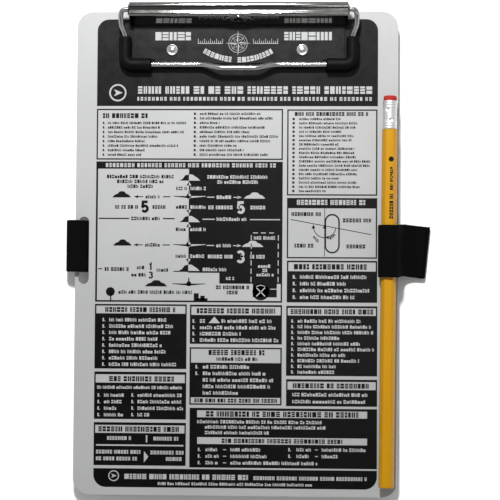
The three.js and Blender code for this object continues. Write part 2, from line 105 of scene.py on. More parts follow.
def area_light(name, place, aim, size, watts):
    data = bpy.data.lights.new(name, "AREA")
    data.shape = "RECTANGLE"
    data.size, data.size_y = size
    data.energy = watts
    light = bpy.data.objects.new(name, data)
    bpy.context.scene.collection.objects.link(light)
    light.location = place
    light.rotation_euler = (Vector(aim) - Vector(place)).to_track_quat("-Z", "Y").to_euler()


def add_light():
    area_light("key", (-0.04, 0.44, 0.56), (0, 0.0, 0), (0.08, 0.08), 7.1)
    area_light("strip", (0, 0.38, 1.4), (0, 0.11, 0), (0.9, 0.24), 0.5)
    area_light("panel", (0.09, 0.0, 1.4), (0.05, -0.02, 0), (0.12, 0.12), 0.4)
    world = bpy.data.worlds.new("studio")
    bpy.context.scene.world = world
    world.use_nodes = True
    tree = world.node_tree
    back = tree.nodes["Background"]
    back.inputs["Strength"].default_value = 0.62
    coord = tree.nodes.new("ShaderNodeTexCoord")
    split = tree.nodes.new("ShaderNodeSeparateXYZ")
    ramp = tree.nodes.new("ShaderNodeValToRGB")
    tree.links.new(coord.outputs["Generated"], split.inputs[0])
    tree.links.new(split.outputs["Z"], ramp.inputs["Fac"])
    tree.links.new(ramp.outputs["Color"], back.inputs["Color"])
    stops = ramp.color_ramp.elements
    stops[0].position, stops[0].color = 0.0, (0.55, 0.55, 0.55, 1)
    stops[1].position, stops[1].color = 0.96, (0.1, 0.1, 0.1, 1)
    for place, grey in ((0.25, 0.95), (0.7, 0.85), (0.86, 0.35)):
        stop = stops.new(place)
        stop.color = (grey, grey, grey, 1)


add_light()
bpy.context.scene.view_settings.view_transform = "Standard"


# ---- finishes ----

class Finish:
    """A procedural material on one Principled shader, in object coordinates (metres)."""

    def __init__(self, name, roughness, metallic=0.0, **sockets):
        self.material = bpy.data.materials.new(name)
        self.material.use_nodes = True
        self.tree = self.material.node_tree
        self.shader = self.tree.nodes["Principled BSDF"]
        self.shader.inputs["Roughness"].default_value = roughness
        self.shader.inputs["Metallic"].default_value = metallic
        for socket, value in sockets.items():
            self.shader.inputs[socket.replace("_", " ")].default_value = value
        self.last_normal = None

    def feed(self, socket, value):
        """Sets a socket to a value, or links another node's output to it."""
        if isinstance(value, bpy.types.NodeSocket):
            self.tree.links.new(value, socket)
        else:
            socket.default_value = value

    def add(self, kind, **inputs):
        node = self.tree.nodes.new("ShaderNode" + kind)
        for name, value in inputs.items():
            self.feed(node.inputs[name], value)
        return node

    def coordinates(self, stretch=(1, 1, 1), flat=False):
        coord = self.add("TexCoord").outputs["UV" if flat else "Object"]
        return self.add("Mapping", Scale=stretch, Vector=coord).outputs["Vector"]

    def noise(self, scale, detail=3.0, stretch=(1, 1, 1), flat=False):
        where = self.coordinates(stretch, flat)
        return self.add("TexNoise", Scale=scale, Detail=detail, Vector=where).outputs["Fac"]

    def wave(self, scale, direction, distortion):
        where = self.coordinates(flat=True)
        node = self.add("TexWave", Scale=scale, Distortion=distortion, Vector=where)
        node.bands_direction = direction
        return node.outputs["Fac"]

    def cells(self, scale):
        return self.add("TexVoronoi", Scale=scale, Vector=self.coordinates()).outputs["Distance"]

    def product(self, one, other):
        node = self.add("Math")
        node.operation = "MULTIPLY"
        self.feed(node.inputs[0], one)
        self.feed(node.inputs[1], other)
        return node.outputs[0]

    def ramp(self, value, stops):
        """Greys or colours along a value from 0 to 1."""
        node = self.add("ValToRGB", Fac=value)
        elements = node.color_ramp.elements
        for element, (place, colour) in zip(elements, stops):
            element.position = place
            element.color = (*colour, 1) if isinstance(colour, tuple) else (colour, colour, colour, 1)
        return node.outputs["Color"]

    def colour(self, value, stops):
        self.feed(self.shader.inputs["Base Color"], self.ramp(value, stops))

    def gloss(self, value, low, high):
        self.feed(self.shader.inputs["Roughness"], self.ramp(value, [(0.3, low), (0.7, high)]))

    def bump(self, value, depth, strength=1.0):
        """Relief on top of any before it, with its depth in millimetres."""
        node = self.add("Bump", Strength=strength, Distance=depth * MM, Height=value)
        if self.last_normal:
            self.feed(node.inputs["Normal"], self.last_normal)
        self.last_normal = node.outputs["Normal"]
        self.feed(self.shader.inputs["Normal"], self.last_normal)


def mottled(name, roughness, spots, dark, light, upper=0.7, gloss=None, grain=(), **sockets):
    """A finish that varies a little from place to place.

    spots is the noise between its two colours: a scale, a detail and perhaps a stretch. gloss holds another
    noise with the lowest and highest roughness, and each grain another with a depth and a strength.
    """
    f = Finish(name, roughness, **sockets)
    f.colour(f.noise(*spots), [(0.3, dark), (upper, light)])
    if gloss:
        noise, low, high = gloss
        f.gloss(f.noise(*noise), low, high)
    for noise, depth, strength in grain:
        f.bump(f.noise(*noise), depth, strength)
    return f.material


def satin(name):
    return mottled(name, 0.5, (18, 4), (0.33, 0.335, 0.333), (0.365, 0.37, 0.367),
                   gloss=((900, 3, (1, 0.05, 1)), 0.44, 0.56),
                   grain=[((2500, 2, (1, 0.04, 1)), 0.004, 0.5), ((160, 2), 0.01, 0.25)],
                   metallic=0.15, Specular_IOR_Level=0.3)


def chrome(name, low, high, blur):
    return mottled(name, blur, (35, 3), (low, low * 0.993, low * 0.965), (high, high * 0.993, high * 0.97),
                   gloss=((120, 4), blur, 1.6 * blur), grain=[((500, 2, (0.15, 1, 1)), 0.002, 0.04)],
                   metallic=1.0)


def woven_elastic():
    """The flat coordinates are millimetres along and across the strap."""
    f = Finish("woven_elastic", 0.9, Specular_IOR_Level=0.06)
    ribs = f.wave(0.31, "X", 0.0)
    ends = f.wave(0.675, "Y", 0.4)
    weave = f.product(ribs, ends)
    fuzz = f.noise(3.0, 4, flat=True)
    # Lighter where the weave and the fuzz rise and darker where they sink: partly the weave's own pattern,
    # partly painted shade in its hollows.
    f.colour(f.product(weave, fuzz), [(0.02, (0.0006, 0.0006, 0.0007)), (0.45, (0.004, 0.004, 0.0044))])
    f.gloss(fuzz, 0.8, 0.98)
    f.bump(weave, 0.09, 0.9)
    f.bump(fuzz, 0.04, 0.5)
    return f.material


def looped_pile():
    f = Finish("looped_pile", 0.95, Specular_IOR_Level=0.2, Sheen_Weight=0.2, Sheen_Roughness=0.6)
    tufts = f.cells(1300)
    # Darker towards each tuft's edge, where the bump sinks: painted shade in the gaps between tufts.
    f.colour(tufts, [(0.1, (0.022, 0.022, 0.024)), (0.7, (0.006, 0.006, 0.007))])
    f.bump(tufts, -0.25, 1.0)
    f.bump(f.noise(900, 4), 0.12, 0.8)
    return f.material


ALUMINIUM = satin("satin_aluminium")
LIGHT_INK = satin("light_marks")
INK = mottled("black_ink", 0.3, (60, 4), (0.0006, 0.0006, 0.0007), (0.0016, 0.0016, 0.0018), 0.75,
              gloss=((240, 3), 0.28, 0.34), grain=[((1500, 2), 0.006, 0.6)], Specular_IOR_Level=0.22)
CHROME = chrome("chrome", 0.42, 0.5, 0.15)
# The lever's chrome is the same plating as the bail's, made darker: painted shade that dims the lever's
# reflections.
LEVER_CHROME_PAINTED_DARKER = chrome("sheet_chrome", 0.23, 0.28, 0.06)
NICKEL = mottled("nickel", 0.26, (200, 3), (0.46, 0.455, 0.44), (0.55, 0.545, 0.53),
                 gloss=((300, 3), 0.22, 0.3), grain=[((2500, 2), 0.001, 0.3)], metallic=0.95)
ENAMEL = mottled("black_enamel", 0.32, (80, 4), (0.001, 0.001, 0.0012), (0.003, 0.003, 0.0034), 0.75,
                 gloss=((300, 3), 0.28, 0.36), grain=[((700, 3), 0.01, 0.5)], Specular_IOR_Level=0.22)
STEEL = mottled("oiled_steel", 0.3, (150, 4), (0.07, 0.07, 0.072), (0.16, 0.16, 0.165),
                gloss=((400, 3), 0.24, 0.4), grain=[((1200, 2), 0.006, 0.5)], metallic=1.0)
RUBBER = mottled("black_rubber", 0.6, (90, 4), (0.0012, 0.0012, 0.0013), (0.003, 0.003, 0.0033), 0.75,
                 gloss=((250, 3), 0.48, 0.65), grain=[((1600, 3), 0.03, 0.5)], Specular_IOR_Level=0.08)
WEBBING = woven_elastic()
PILE = looped_pile()
HOOKS = mottled("hook_tape", 0.55, (300, 3), (0.012, 0.012, 0.013), (0.026, 0.026, 0.028),
                grain=[((1400, 2), 0.05, 0.7)], Specular_IOR_Level=0.4)
THREAD = mottled("thread", 0.7, (700, 3), (0.018, 0.018, 0.02), (0.05, 0.05, 0.054),
                 grain=[((3000, 2, (1, 0.3, 1)), 0.03, 0.8)], Specular_IOR_Level=0.35)
LACQUER = mottled("yellow_lacquer", 0.36, (45, 4, (1, 0.25, 1)), (0.38, 0.178, 0.0004), (0.44, 0.214, 0.0008),
                  gloss=((350, 3), 0.31, 0.42), grain=[((700, 3, (1, 0.12, 1)), 0.012, 0.5)],
                  Specular_IOR_Level=0.25, Coat_Weight=0.06, Coat_Roughness=0.15)
CEDAR = mottled("cedar", 0.75, (900, 4, (1, 0.1, 1)), (0.36, 0.17, 0.075), (0.50, 0.27, 0.13),
                grain=[((1800, 3, (1, 0.1, 1)), 0.04, 0.7)], Specular_IOR_Level=0.3)
GRAPHITE = mottled("graphite", 0.42, (900, 3), (0.03, 0.03, 0.033), (0.07, 0.07, 0.075),
                   grain=[((2000, 2), 0.02, 0.6)], metallic=0.3)
FERRULE = mottled("ferrule_aluminium", 0.45, (150, 3), (0.56, 0.56, 0.57), (0.66, 0.66, 0.67),
                  gloss=((500, 3), 0.4, 0.5), grain=[((900, 2, (1, 0.2, 1)), 0.008, 0.5)], metallic=0.7)
ERASER = mottled("red_eraser", 0.85, (220, 4), (0.26, 0.012, 0.009), (0.35, 0.022, 0.016), 0.75,
                 grain=[((900, 4), 0.05, 0.7)], Specular_IOR_Level=0.3)


# ---- making pieces ----

def piece(name, mesh, body, slot, *materials, sharp=50, node=None):
    """A new object of that mesh, shaded smooth between its sharp edges, perhaps in place of a CAD node."""
    made = bpy.data.objects.new(name, mesh)
    bpy.context.scene.collection.objects.link(made)
    mesh.name = name
    for material in materials:
        mesh.materials.append(material)
    mesh.shade_smooth()
    mesh.set_sharp_from_angle(angle=math.radians(sharp))
    if body:
        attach(made, body)
    if node:
        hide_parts(node)
    return made


def mesh_of(points, faces):
    """A mesh from points in millimetres."""
    mesh = bpy.data.meshes.new("mesh")
    mesh.from_pydata([at(*p) for p in points], [], faces)
    bm = bmesh.new()
    bm.from_mesh(mesh)
    bmesh.ops.recalc_face_normals(bm, faces=bm.faces)
    bm.to_mesh(mesh)
    bm.free()
    return mesh


def skin(rows, sides, first=0):
    """The faces over rows of so many points each, numbered from first, with a face at either end."""
    faces = []
    for i in range(first, first + (rows - 1) * sides, sides):
        for k in range(sides):
            n = (k + 1) % sides
            faces.append((i + k, i + n, i + sides + n, i + sides + k))
    last = first + (rows - 1) * sides
    return faces + [tuple(reversed(range(first, first + sides))), tuple(range(last, last + sides))]


def arc(centre, radius, start, end, steps):
    """Points along an arc from one angle in degrees to another. A pair of radii makes it an ellipse's."""
    wide, tall = radius if isinstance(radius, tuple) else (radius, radius)
    turn = [math.radians(start + (end - start) * k / steps) for k in range(steps + 1)]
    return [(centre[0] + wide * math.cos(a), centre[1] + tall * math.sin(a)) for a in turn]


def spaced(points, step):
    """The same line with its points about step apart."""
    points = [Vector(p) for p in points]
    lengths = [0.0]
    for a, b in zip(points, points[1:]):
        lengths.append(lengths[-1] + (b - a).length)
    count = max(2, round(lengths[-1] / step))
    out, i = [], 0
    for k in range(count + 1):
        want = lengths[-1] * k / count
        while i < len(points) - 2 and lengths[i + 1] < want:
            i += 1
        share = (want - lengths[i]) / max(1e-9, lengths[i + 1] - lengths[i])
        out.append(points[i].lerp(points[i + 1], min(1.0, share)))
    return out


def bezier(parts, steps=16):
    """Straight lines and cubic curves, joined into one line of points."""
    line = []
    for part in parts:
        p = [Vector(q) for q in part]
        for k in range(steps + 1):
            t = k / steps
            if len(p) == 2:
                q = p[0].lerp(p[1], t)
            else:
                s = 1 - t
                q = p[0] * s ** 3 + p[1] * (3 * s * s * t) + p[2] * (3 * s * t * t) + p[3] * t ** 3
            if not line or (q - line[-1]).length > 1e-4:
                line.append(q)
    return line


def through(points, steps=14):
    """A smooth curve through the points."""
    p = [Vector(q) for q in points]
    line = []
    for i in range(len(p) - 1):
        a, b, c, d = p[max(i - 1, 0)], p[i], p[i + 1], p[min(i + 2, len(p) - 1)]
        for k in range(steps):
            t = k / steps
            line.append(0.5 * ((2 * b) + (c - a) * t + (2 * a - 5 * b + 4 * c - d) * t * t
                               + (3 * b - a - 3 * c + d) * t ** 3))
    return line + [p[-1]]


def tube(path, radius, sides):
    """A round rod along a path. radius may be a function of the distance along it and its whole length."""
    path = [Vector(p) for p in path]
    total = sum((b - a).length for a, b in zip(path, path[1:]))
    size = radius if callable(radius) else (lambda s, whole: radius)
    heading = (path[1] - path[0]).normalized()
    up = heading.orthogonal().normalized()
    points, travelled = [], 0.0
    for i, p in enumerate(path):
        if i:
            travelled += (p - path[i - 1]).length
        ahead = (path[min(i + 1, len(path) - 1)] - path[max(i - 1, 0)]).normalized()
        up = (heading.rotation_difference(ahead) @ up).normalized()
        heading = ahead
        side = heading.cross(up)
        r = size(travelled, total)
        for k in range(sides):
            a = 2 * math.pi * k / sides
            points.append(p + (up * math.cos(a) + side * math.sin(a)) * r)
    return mesh_of(points, skin(len(path), sides))


def rounded(radius, ease):
    """A tube radius whose two ends are rounded over the length ease."""
    def size(s, whole):
        near = min(s, whole - s, ease) / ease
        return radius * (1 - 0.16 * (1 - near) ** 2)
    return size


def turned(profile, place, sides=48):
    """A profile of (radius, height) turned round an axis. place(u, v, height) says where a point goes."""
    points, faces, rows = [], [], []
    for r, h in profile:
        row = []
        for k in range(sides if r > 1e-6 else 1):
            a = 2 * math.pi * k / sides
            row.append(len(points))
            points.append(place(r * math.cos(a), r * math.sin(a), h))
        rows.append(row)
    for low, high in zip(rows, rows[1:]):
        for k in range(sides):
            n = (k + 1) % sides
            quad = [low[k % len(low)], low[n % len(low)], high[n % len(high)], high[k % len(high)]]
            face = list(dict.fromkeys(quad))
            if len(face) > 2:
                faces.append(face)
    faces += [end for end in (rows[0][::-1], rows[-1]) if len(end) > 2]
    return mesh_of(points, faces)


def softened(node, name, body, slot, material, width):
    """A piece of a CAD node's own shape, with its edges rounded to a width in millimetres."""
    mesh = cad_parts[node].data.copy()
    mesh.materials.clear()
    bm = bmesh.new()
    bm.from_mesh(mesh)
    bmesh.ops.remove_doubles(bm, verts=bm.verts, dist=1e-6)
    bmesh.ops.dissolve_limit(bm, angle_limit=math.radians(1), verts=bm.verts, edges=bm.edges)
    bmesh.ops.recalc_face_normals(bm, faces=bm.faces)
    bm.to_mesh(mesh)
    bm.free()
    made = piece(name, mesh, body, slot, material, sharp=40, node=node)
    bevel = made.modifiers.new("edges", "BEVEL")
    bevel.width = width * MM
    bevel.segments = 3
    bevel.limit_method = "ANGLE"
    bevel.angle_limit = math.radians(40)
    bevel.harden_normals = True


# ---- print ----

class Print:
    """Thin marks of one colour, from bottom to top above a surface at height base. dice varies its rows."""

    def __init__(self, base, bottom, top, dice):
        self.low, self.high, self.dice = base + bottom, base + top, dice
        self.points, self.faces = [], []

    def made(self, name, material, slot, body="board"):
        return piece(name, mesh_of(self.points, self.faces), body, slot, material, sharp=20)

    def shape(self, outline):
        self.faces += skin(2, len(outline), len(self.points))
        for z in (self.low, self.high):
            self.points += [(x, y, z) for x, y in outline]

    def block(self, x0, y0, x1, y1):
        self.shape([(x0, y0), (x1, y0), (x1, y1), (x0, y1)])

    def blocks(self, *boxes):
        for corners in boxes:
            self.block(*corners)

    def line(self, points, width):
        """A stroke of constant width through the points, mitred at its corners."""
        p = [Vector(q) for q in points]
        left, right = [], []
        for i, q in enumerate(p):
            before = (q - p[i - 1]).normalized() if i else (p[1] - q).normalized()
            after = (p[i + 1] - q).normalized() if i < len(p) - 1 else before
            across = Vector((-(before + after).y, (before + after).x)).normalized()
            reach = width / 2 / max(0.4, across.dot(Vector((-before.y, before.x))))
            left.append(tuple(q + across * reach))
            right.append(tuple(q - across * reach))
        for i in range(len(p) - 1):
            self.shape([right[i], right[i + 1], left[i + 1], left[i]])

    def curve(self, centre, radius, start, end, width, steps=20):
        self.line(arc(centre, radius, start, end, steps), width)

    def disc(self, centre, radius, steps=32):
        self.shape(arc(centre, radius, 0, 360, steps)[:-1])

    def rounded_block(self, x0, y0, x1, y1, radius, corners):
        """A block whose named corners (of sw, se, ne, nw) are round."""
        outline = []
        places = {"sw": (x0, y0, 180), "se": (x1, y0, 270), "ne": (x1, y1, 0), "nw": (x0, y1, 90)}
        for name, (x, y, start) in places.items():
            centre = (x + radius * (1 if "w" in name else -1), y + radius * (1 if "s" in name else -1))
            outline += arc(centre, radius, start, start + 90, 8) if name in corners else [(x, y)]
        self.shape(outline)

    def frame(self, x0, y0, x1, y1, width=0.65):
        low, high = y0 + width, y1 - width
        self.blocks((x0, high, x1, y1), (x0, y0, x1, low))
        self.blocks((x0, low, x0 + width, high), (x1 - width, low, x1, high))

    def headed(self, x0, y0, x1, y1, high, low, heading, rim=0.7):
        """A panel whose strip from low to high is left bare, but for the heading's row."""
        self.blocks((x0, high, x1, y1), (x0, y0, x1, low))
        self.blocks((x0, low, x0 + rim, high), (x1 - rim, low, x1, high))
        self.centred(*heading)

    def mark(self, x, y, width, height, place):
        """One small mark in a row: a block, two upright bars or a stack of flat bars. No letter is drawn."""
        kind = self.dice.random()
        if height < 1.8:
            top = 0.74 if kind < 0.45 and self.dice.random() < 0.5 else 1
            choices = [(0.45, [(0, 0, 1, top)]), (0.8, [(0, 0, 0.38, 1), (0.62, 0, 1, 0.8)]),
                       (1, [(0, 0, 1, 0.4), (0, 0.62, 1, 1)])]
        else:
            choices = [(0.3, [(0, 0, 0.42, 1), (0.58, 0, 1, 1)]),
                       (0.6, [(0, 0, 1, 0.28), (0, 0.37, 1, 0.63), (0, 0.72, 1, 1)]),
                       (0.8, [(0, 0, 1, 0.44), (0, 0.56, 1, 1)]), (1, [(0, 0, 1, 1)])]
        bars = next(bars for chance, bars in choices if kind < chance)
        for u0, v0, u1, v1 in bars:
            corners = ((u0, v0), (u1, v0), (u1, v1), (u0, v1))
            self.shape([place(x + width * u, y + height * v) for u, v in corners])

    def row(self, x, y, end, height, width=0.66, gap=0.17, place=lambda u, v: (u, v), words=True):
        """A row of marks from x to end, standing for a line of print."""
        left = self.dice.randint(2, 8) if words else 99
        while x < end - 0.3 * height:
            w = min(height * width * self.dice.choice((0.7, 0.9, 1.0, 1.0, 1.15)), end - x)
            self.mark(x, y, w, height, place)
            x += w + gap * height
            left -= 1
            if left <= 0:
                x += 0.42 * height
                left = self.dice.randint(2, 9)

    def rows(self, height, *places):
        for x, y, end in places:
            self.row(x, y, end, height)

    def centred(self, x, y, length, height):
        self.row(x - length / 2, y, x + length / 2, height)

    def stack(self, x, height, *lines):
        for y, length in lines:
            self.centred(x, y, length, height)

    def numbered(self, index_x, text_x, first_y, pitch, height, ends, index_width=1.6):
        """A list: a short index mark and a row for each line."""
        for k, end in enumerate(ends):
            y = first_y - k * pitch - height / 2
            self.block(index_x, y, index_x + index_width * 0.45, y + height)
            self.block(index_x + index_width * 0.62, y, index_x + index_width * 0.82, y + height * 0.25)
            self.row(text_x, y, end, height)

    def numeral(self, digit, x, y, height, width):
        """A large figure, drawn as plain strokes in a box that stands on (x, y)."""
        def bowl(cu, cv, ru, rv, start, end):
            return arc((cu, cv), (ru, rv), start, end, 18)

        strokes = {
            1: [[(0.2, 0.78), (0.52, 0.97), (0.52, 0)]],
            3: [bowl(0.48, 0.72, 0.36, 0.2, 155, -90), bowl(0.48, 0.29, 0.4, 0.23, 90, -155)],
            5: [[(0.88, 0.92), (0.22, 0.92), (0.16, 0.5)] + bowl(0.48, 0.32, 0.38, 0.25, 140, -150)],
        }
        for stroke in strokes[digit]:
            self.line([(x + u * height * 0.62, y + v * height) for u, v in stroke], width)

    def cloud(self, x, y, width, height=3.1):
        outline = [(0, 0), (1, 0), (0.97, 0.16), (0.86, 0.5), (0.74, 0.62), (0.66, 0.93), (0.5, 1),
                   (0.38, 0.92), (0.3, 0.62), (0.14, 0.42), (0.04, 0.12)]
        self.shape([(x + u * width, y + v * height) for u, v in outline])

    def wing(self, x, y, span, side):
        """Half of an aeroplane seen from the front: a wing, half a fuselage and half a fin."""
        tip = x + side * span
        body = [(0, -0.9), (0.9, -0.6), (1.25, 0.3), (0.9, 1.2), (0.3, 1.7), (0.25, 3.2), (0, 3.4)]
        self.shape([(x, y - 0.55), (tip, y + 0.25), (tip, y + 0.5), (x, y + 0.45)][::side])
        self.shape([(x + side * u, y + v) for u, v in body][::side])

    def arrow(self, tip, tail, width=0.45, head=1.6):
        """A stroke that ends in a solid head at tip."""
        tip, tail = Vector(tip), Vector(tail)
        along = (tail - tip).normalized()
        across = Vector((-along.y, along.x)) * head * 0.45
        base = tip + along * head * 1.3
        self.line([tip + along * head, tail], width)
        self.shape([tuple(tip), tuple(base + across), tuple(base - across)])

    def symbol(self, x, y, radius):
        """A generic heading symbol: a ring round an arrowhead."""
        self.curve((x, y), radius, 0, 360, radius * 0.2, 36)
        r = radius * 0.62
        self.shape([(x + r, y), (x - r * 0.8, y + r * 0.72), (x - r * 0.35, y), (x - r * 0.8, y - r * 0.72)])


LEFT, RIGHT = -69.3, 69.4
SPLIT = (22.8, 24.9)  # the gap between the wide left column and the right one
LOWER_SPLIT = (-24.0, -22.4)  # the gap between the left and middle columns of the lower part
MIDLINE = -23.4  # where the large diagram turns from bare to inked


def print_header(ink, light):
    ink.rounded_block(LEFT, 72.2, RIGHT, 115.3, 5.8, ("nw", "ne"))
    light.symbol(-59, 78.8, 3.9)
    light.row(-49, 78.3, 66.6, 3.7)
    light.row(-49.3, 74.9, 66.4, 1.8, width=0.72, gap=0.4)


def print_flight_plan(ink):
    ink.frame(LEFT, 45.6, SPLIT[0], 70.8)
    ink.row(-66.3, 66.2, -43, 2.4)
    ink.numbered(-66.3, -63.8, 63.8, 2.25, 1.15, (-25, -38, -26, -39, -45.5, -28.5, -44.5, -46.5))
    ink.numbered(-21.2, -18.3, 68.4, 2.25, 1.15, (12, 18, -8.5, 14, 6.5, 20.4, 16.5, 0, 3.5, 15.5), 2.2)


def print_suffixes(ink):
    ink.frame(SPLIT[1], 28.1, 69.2, 70.6)
    ink.centred(46.6, 67.4, 36, 1.9)
    ends = (51.5, 59.5, 58.5, 51.5, 57.5, 57, 50.5, 58, 57.8, 58.6, 66.2, 65.6, 59.3, 59.6, 50.7, 59, 60.6,
            44.5)
    for k, end in enumerate(ends):
        y = 65.3 - k * 2.09
        ink.block(27.5, y, 28.6, y + 1.1)
        ink.row(30.7, y, end, 1.1)


def print_diagram(ink, light):
    """The large diagram: bare on its left, inked on its right, with clouds, aeroplanes and heights."""
    right = SPLIT[0]
    ink.block(LEFT, 41.1, right, 44.7)
    light.row(-64.6, 41.9, 19.5, 2.0, gap=0.26)
    ink.blocks((LEFT, -24.6, LEFT + 0.9, 41.1), (LEFT + 0.9, -24.6, right, -23.8),
               (right - 0.7, -23.8, right, -15.4), (MIDLINE, -10.1, right, 41.1), (-8.1, -15.4, right, -10.1),
               (8.4, -22.0, 20.2, -15.4))
    ink.blocks((-67.9, 16.2, -52.8, 16.8), (-36.1, 16.2, -30.3, 16.8), (-67.9, -8.6, -65.9, -8.1),
               (-30.7, -9.7, MIDLINE, -9.2), (-61.9, -23.8, -61.3, -20), (-20.6, -23.8, -18.2, -20.2),
               (-17.4, -23.8, -15.2, -21.4), (-19.2, -23.8, -13.8, -22.6))
    light.blocks((-16.6, 16.0, -10.5, 16.5), (6.8, 15.9, 21.6, 16.4), (16.9, -18.2, 20.2, -17.8))
    disc = (12.3, -19.4)
    ink.disc(disc, 4.1)
    ink.stack(-47.5, 1.7, (36.4, 33), (34, 23), (31.6, 12.5))
    light.stack(0.6, 1.7, (36.3, 30), (33.8, 20))
    for y, low in ((35.3, True), (14.8, True), (-9.2, False)):
        for marks, outline in ((ink, [(-4.6, 0), (0, 0), (0, 3.1), (-1.9, 2.6), (-3, 1)]),
                               (light, [(0, 0), (5.6, 0), (4.4, 1.2), (1.6, 3), (0, 3.1)])):
            marks.shape([(MIDLINE + u, y + v) for u, v in outline])
        if low:
            ink.shape([(MIDLINE - 1.2, y - 2.4), (MIDLINE, y - 2.4), (MIDLINE, y - 0.5)])
            light.shape([(MIDLINE, y - 2.4), (MIDLINE + 1.2, y - 2.4), (MIDLINE, y - 0.5)])
    for y in (18.9, -5.2):
        ink.shape([(MIDLINE, y), (MIDLINE, y + 1.9), (MIDLINE - 1.2, y + 1.9)])
        light.shape([(MIDLINE, y), (MIDLINE + 1.2, y + 1.9), (MIDLINE, y + 1.9)])
    for y, length in ((30.6, 8), (21.4, 7.5), (10.4, 7.6), (-2.8, 7.5)):
        ink.row(MIDLINE - 6.3, y, MIDLINE - 0.8, 1.7)
        light.row(MIDLINE + 0.8, y, MIDLINE + 0.8 + length, 1.7)
    for y, left_cloud, right_cloud in ((27.2, -61.3, 3.6), (3.4, -60.7, 2.8)):
        ink.cloud(left_cloud, y - 0.3, 9.2)
        light.cloud(right_cloud, y - 0.7, 10.6)
        ink.arrow((-50.6, y + 0.1), (-46, y + 0.1))
        ink.row(-44.8, y - 0.75, -37.6, 1.7)
        ink.block(-36.2, y - 0.15, -32.6, y + 0.35)
        ink.wing(MIDLINE, y, 7.6, -1)
        light.wing(MIDLINE, y, 8.4, 1)
        light.block(-14.4, y - 0.3, -10.8, y + 0.2)
        light.row(-9.7, y - 0.9, -2.3, 1.7)
        light.arrow((2.7, y - 0.1), (-1.4, y - 0.1))
    ink.rows(1.8, (-59.8, 21.3, -47.8), (-41.3, 21.3, -34.2))
    ink.numeral(5, -46.8, 19.6, 5.6, 1.35)
    for y, digit in ((21.2, 5), (-3.0, 3)):
        light.row(-13.8, y, -1.2, 1.8)
        light.numeral(digit, 0.5, y - 2.0, 5.8, 1.35)
        light.row(7.0, y, 14.4, 1.8)
    ink.row(-51.8, 15.7, -37.7, 1.7)
    light.row(-9.6, 15.5, 5.0, 1.7)
    ink.row(-64.7, -9.4, -52.8, 1.8)
    ink.rows(1.7, (-48.7, -8.5, -44.6), (-51.5, -12.1, -44.4))
    ink.numeral(1, -42.9, -8.8, 3.2, 0.8)
    ink.numeral(3, -42.9, -12.9, 3.2, 0.75)
    ink.row(-39, -9.7, -31.9, 1.7)
    light.row(-16.3, -9.3, -4.4, 1.7)
    ink.cloud(-44.8, -16.9, 11)
    ink.wing(MIDLINE + 0.3, -15.9, 8.2, -1)
    ink.wing(MIDLINE + 0.3, -15.9, 8.2, 1)
    ink.row(-57.8, -20.6, -21.6, 1.7)
    ink.disc((-61.8, -19.6), 2.3, 9)
    light.row(-4.8, -13.6, -0.6, 1.5)
    ink.stack(-1.4, 1.8, (-18.1, 16.6), (-20.6, 6))
    for x in (7.5, 20.8):
        for k in range(6):
            light.block(x - 0.22, -14.6 + k * 4.1, x + 0.22, -12.0 + k * 4.1)
    for x in (8.4, 12.2, 16.2):
        light.block(x, 9.4, x + 2.4, 9.85)
    light.row(8.8, 6.3, 19.4, 1.7)
    light.stack(14.4, 1.6, (-7.5, 7), (-9.6, 2.6), (-11.7, 8.4))
    for a in (45, 135):
        light.line(arc(disc, 3, a + 180, a, 1), 0.5)
    light.curve(disc, 3.3, 130, 50, 0.35, 8)


def print_holding(ink, light):
    """A bare panel with a racetrack pattern, its entry line and two sector arcs."""
    ink.block(25.0, 22.5, 69.2, 26.9)
    light.centred(46.6, 23.5, 33.5, 2.5)
    ink.frame(25.0, -2.8, 69.2, 22.5)
    ink.line([(43.5, -1.8), (43.5, 21.8)], 0.3)
    track = arc((47.2, 15.4), 3.35, 0, 180, 12) + arc((47.2, 3.4), 3.35, 180, 360, 12)
    ink.line(track + track[:1], 0.75)
    ink.line([(26.9, 16.3), (66.3, 9.0)], 0.35)
    ink.curve((43.5, 12.9), 5.5, 182, 270, 0.35)
    ink.curve((43.5, 12.9), 5.5, 276, 352, 0.35)
    for x, y in ((38.0, 11.9), (43.5, 11.9)):
        ink.shape([(x - 0.9, y), (x + 0.9, y), (x, y + 2)])
    ink.shape([(44, 7.4), (45.6, 6.6), (45.4, 8.5)])
    ink.rows(1.9, (27.2, 18.0, 41.6), (52.4, 15.0, 66.2), (28.7, 2.5, 38.5), (54.2, 2.2, 64.2))
    for x, y, turn in ((37.7, 7.7, -50), (46.4, 6.4, 40)):
        a = math.radians(turn)
        ink.row(0, 0, 3.6, 1.2, place=lambda u, v: (x + u * math.cos(a) - v * math.sin(a),
                                                    y + u * math.sin(a) + v * math.cos(a)))


